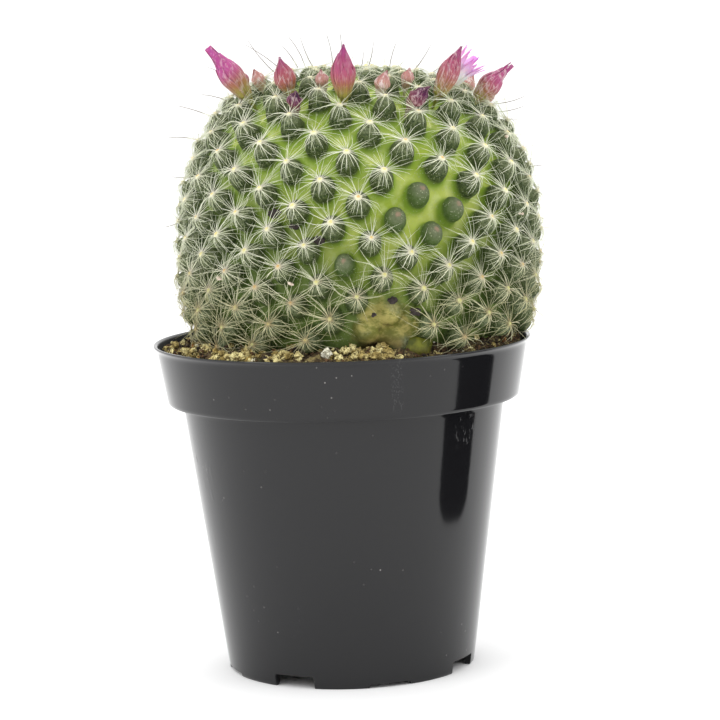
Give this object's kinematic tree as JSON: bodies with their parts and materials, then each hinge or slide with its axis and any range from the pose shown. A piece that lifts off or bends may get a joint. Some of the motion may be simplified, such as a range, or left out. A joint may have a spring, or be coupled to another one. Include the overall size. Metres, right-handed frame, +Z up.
{
  "type": "potted round cactus",
  "caption": "Round cactus with spiral rows of tubercles, fine white spines and a ring of pink buds round its crown, in a black nursery pot with a stepped collar and a notched foot.",
  "frame": {"origin": "on the ground, under the middle of the whole plant's bounding box; the pot's own axis is about 4 mm from it because the stem stands off centre and leans", "axes": "+Z up; the side the picture shows faces -Y; +X is to the picture's right"},
  "size_m": [0.102, 0.102, 0.1525],
  "materials": {
    "pot": "black moulded plastic, semi-gloss",
    "soil": "coarse potting mix of bark, peat and pale chips",
    "stem": "waxy plant skin, dark green tubercles over yellow-green skin, cream spines",
    "bud": "soft petals, pinkish brown with magenta tips",
    "young_bud": "soft, pale pinkish brown",
    "dried_bud": "dried, dark purple",
    "open_flower": "thin pale petals with magenta edges"
  },
  "bodies": {
    "root": {"bud_back": "bud", "bud_back_left": "bud", "bud_back_right": "bud", "bud_far_left": "bud", "bud_far_right": "bud", "bud_left": "bud", "bud_middle": "bud", "bud_right": "bud", "bud_side_left": "bud", "dried_bud_1": "dried_bud", "dried_bud_2": "dried_bud", "dried_bud_3": "dried_bud", "dried_bud_4": "dried_bud", "open_flower": "open_flower", "pot": "pot", "soil": "soil", "stem": "stem", "young_bud_1": "young_bud", "young_bud_2": "young_bud", "young_bud_3": "young_bud", "young_bud_4": "young_bud", "young_bud_5": "young_bud", "young_bud_6": "young_bud", "young_bud_7": "young_bud", "young_bud_8": "young_bud"}
  },
  "joints": []
}
